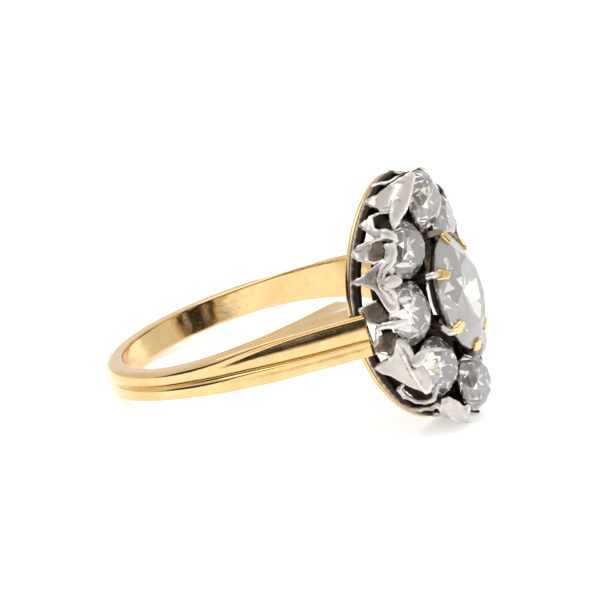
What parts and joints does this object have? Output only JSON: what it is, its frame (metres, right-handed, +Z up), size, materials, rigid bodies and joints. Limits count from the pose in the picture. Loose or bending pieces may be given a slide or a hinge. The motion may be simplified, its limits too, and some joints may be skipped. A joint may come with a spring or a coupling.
{
  "type": "diamond cluster ring",
  "caption": "Oval cluster ring lying on its side: fluted yellow gold band and shoulders, pierced oxidised silver head, old cut diamonds round a taller centre diamond with gold-tipped claws.",
  "frame": {"origin": "middle of the finger hole, on its axis, halfway along its wall", "axes": "+Z up with the ring lying on its side; +X from the finger hole toward the head; +Y to the far side. The finger hole's axis leans 18.9 degrees from +Z toward -X, because the ring rests on the edge of the band's back and on the rim of the head"},
  "size_m": [0.0252, 0.0196, 0.0164],
  "materials": {
    "gold": "polished yellow gold, worn",
    "silver": "hand-worked silver, oxidised in its recesses",
    "diamond": "faceted, clear"
  },
  "bodies": {
    "root": {"shank": "gold", "back_rail": "gold", "setting": "silver", "centre_setting": "silver", "claw_tips": "gold", "centre_stone": "diamond", "stone_1": "diamond", "stone_2": "diamond", "stone_3": "diamond", "stone_4": "diamond", "stone_5": "diamond", "stone_6": "diamond", "stone_7": "diamond", "stone_8": "diamond"}
  },
  "joints": []
}
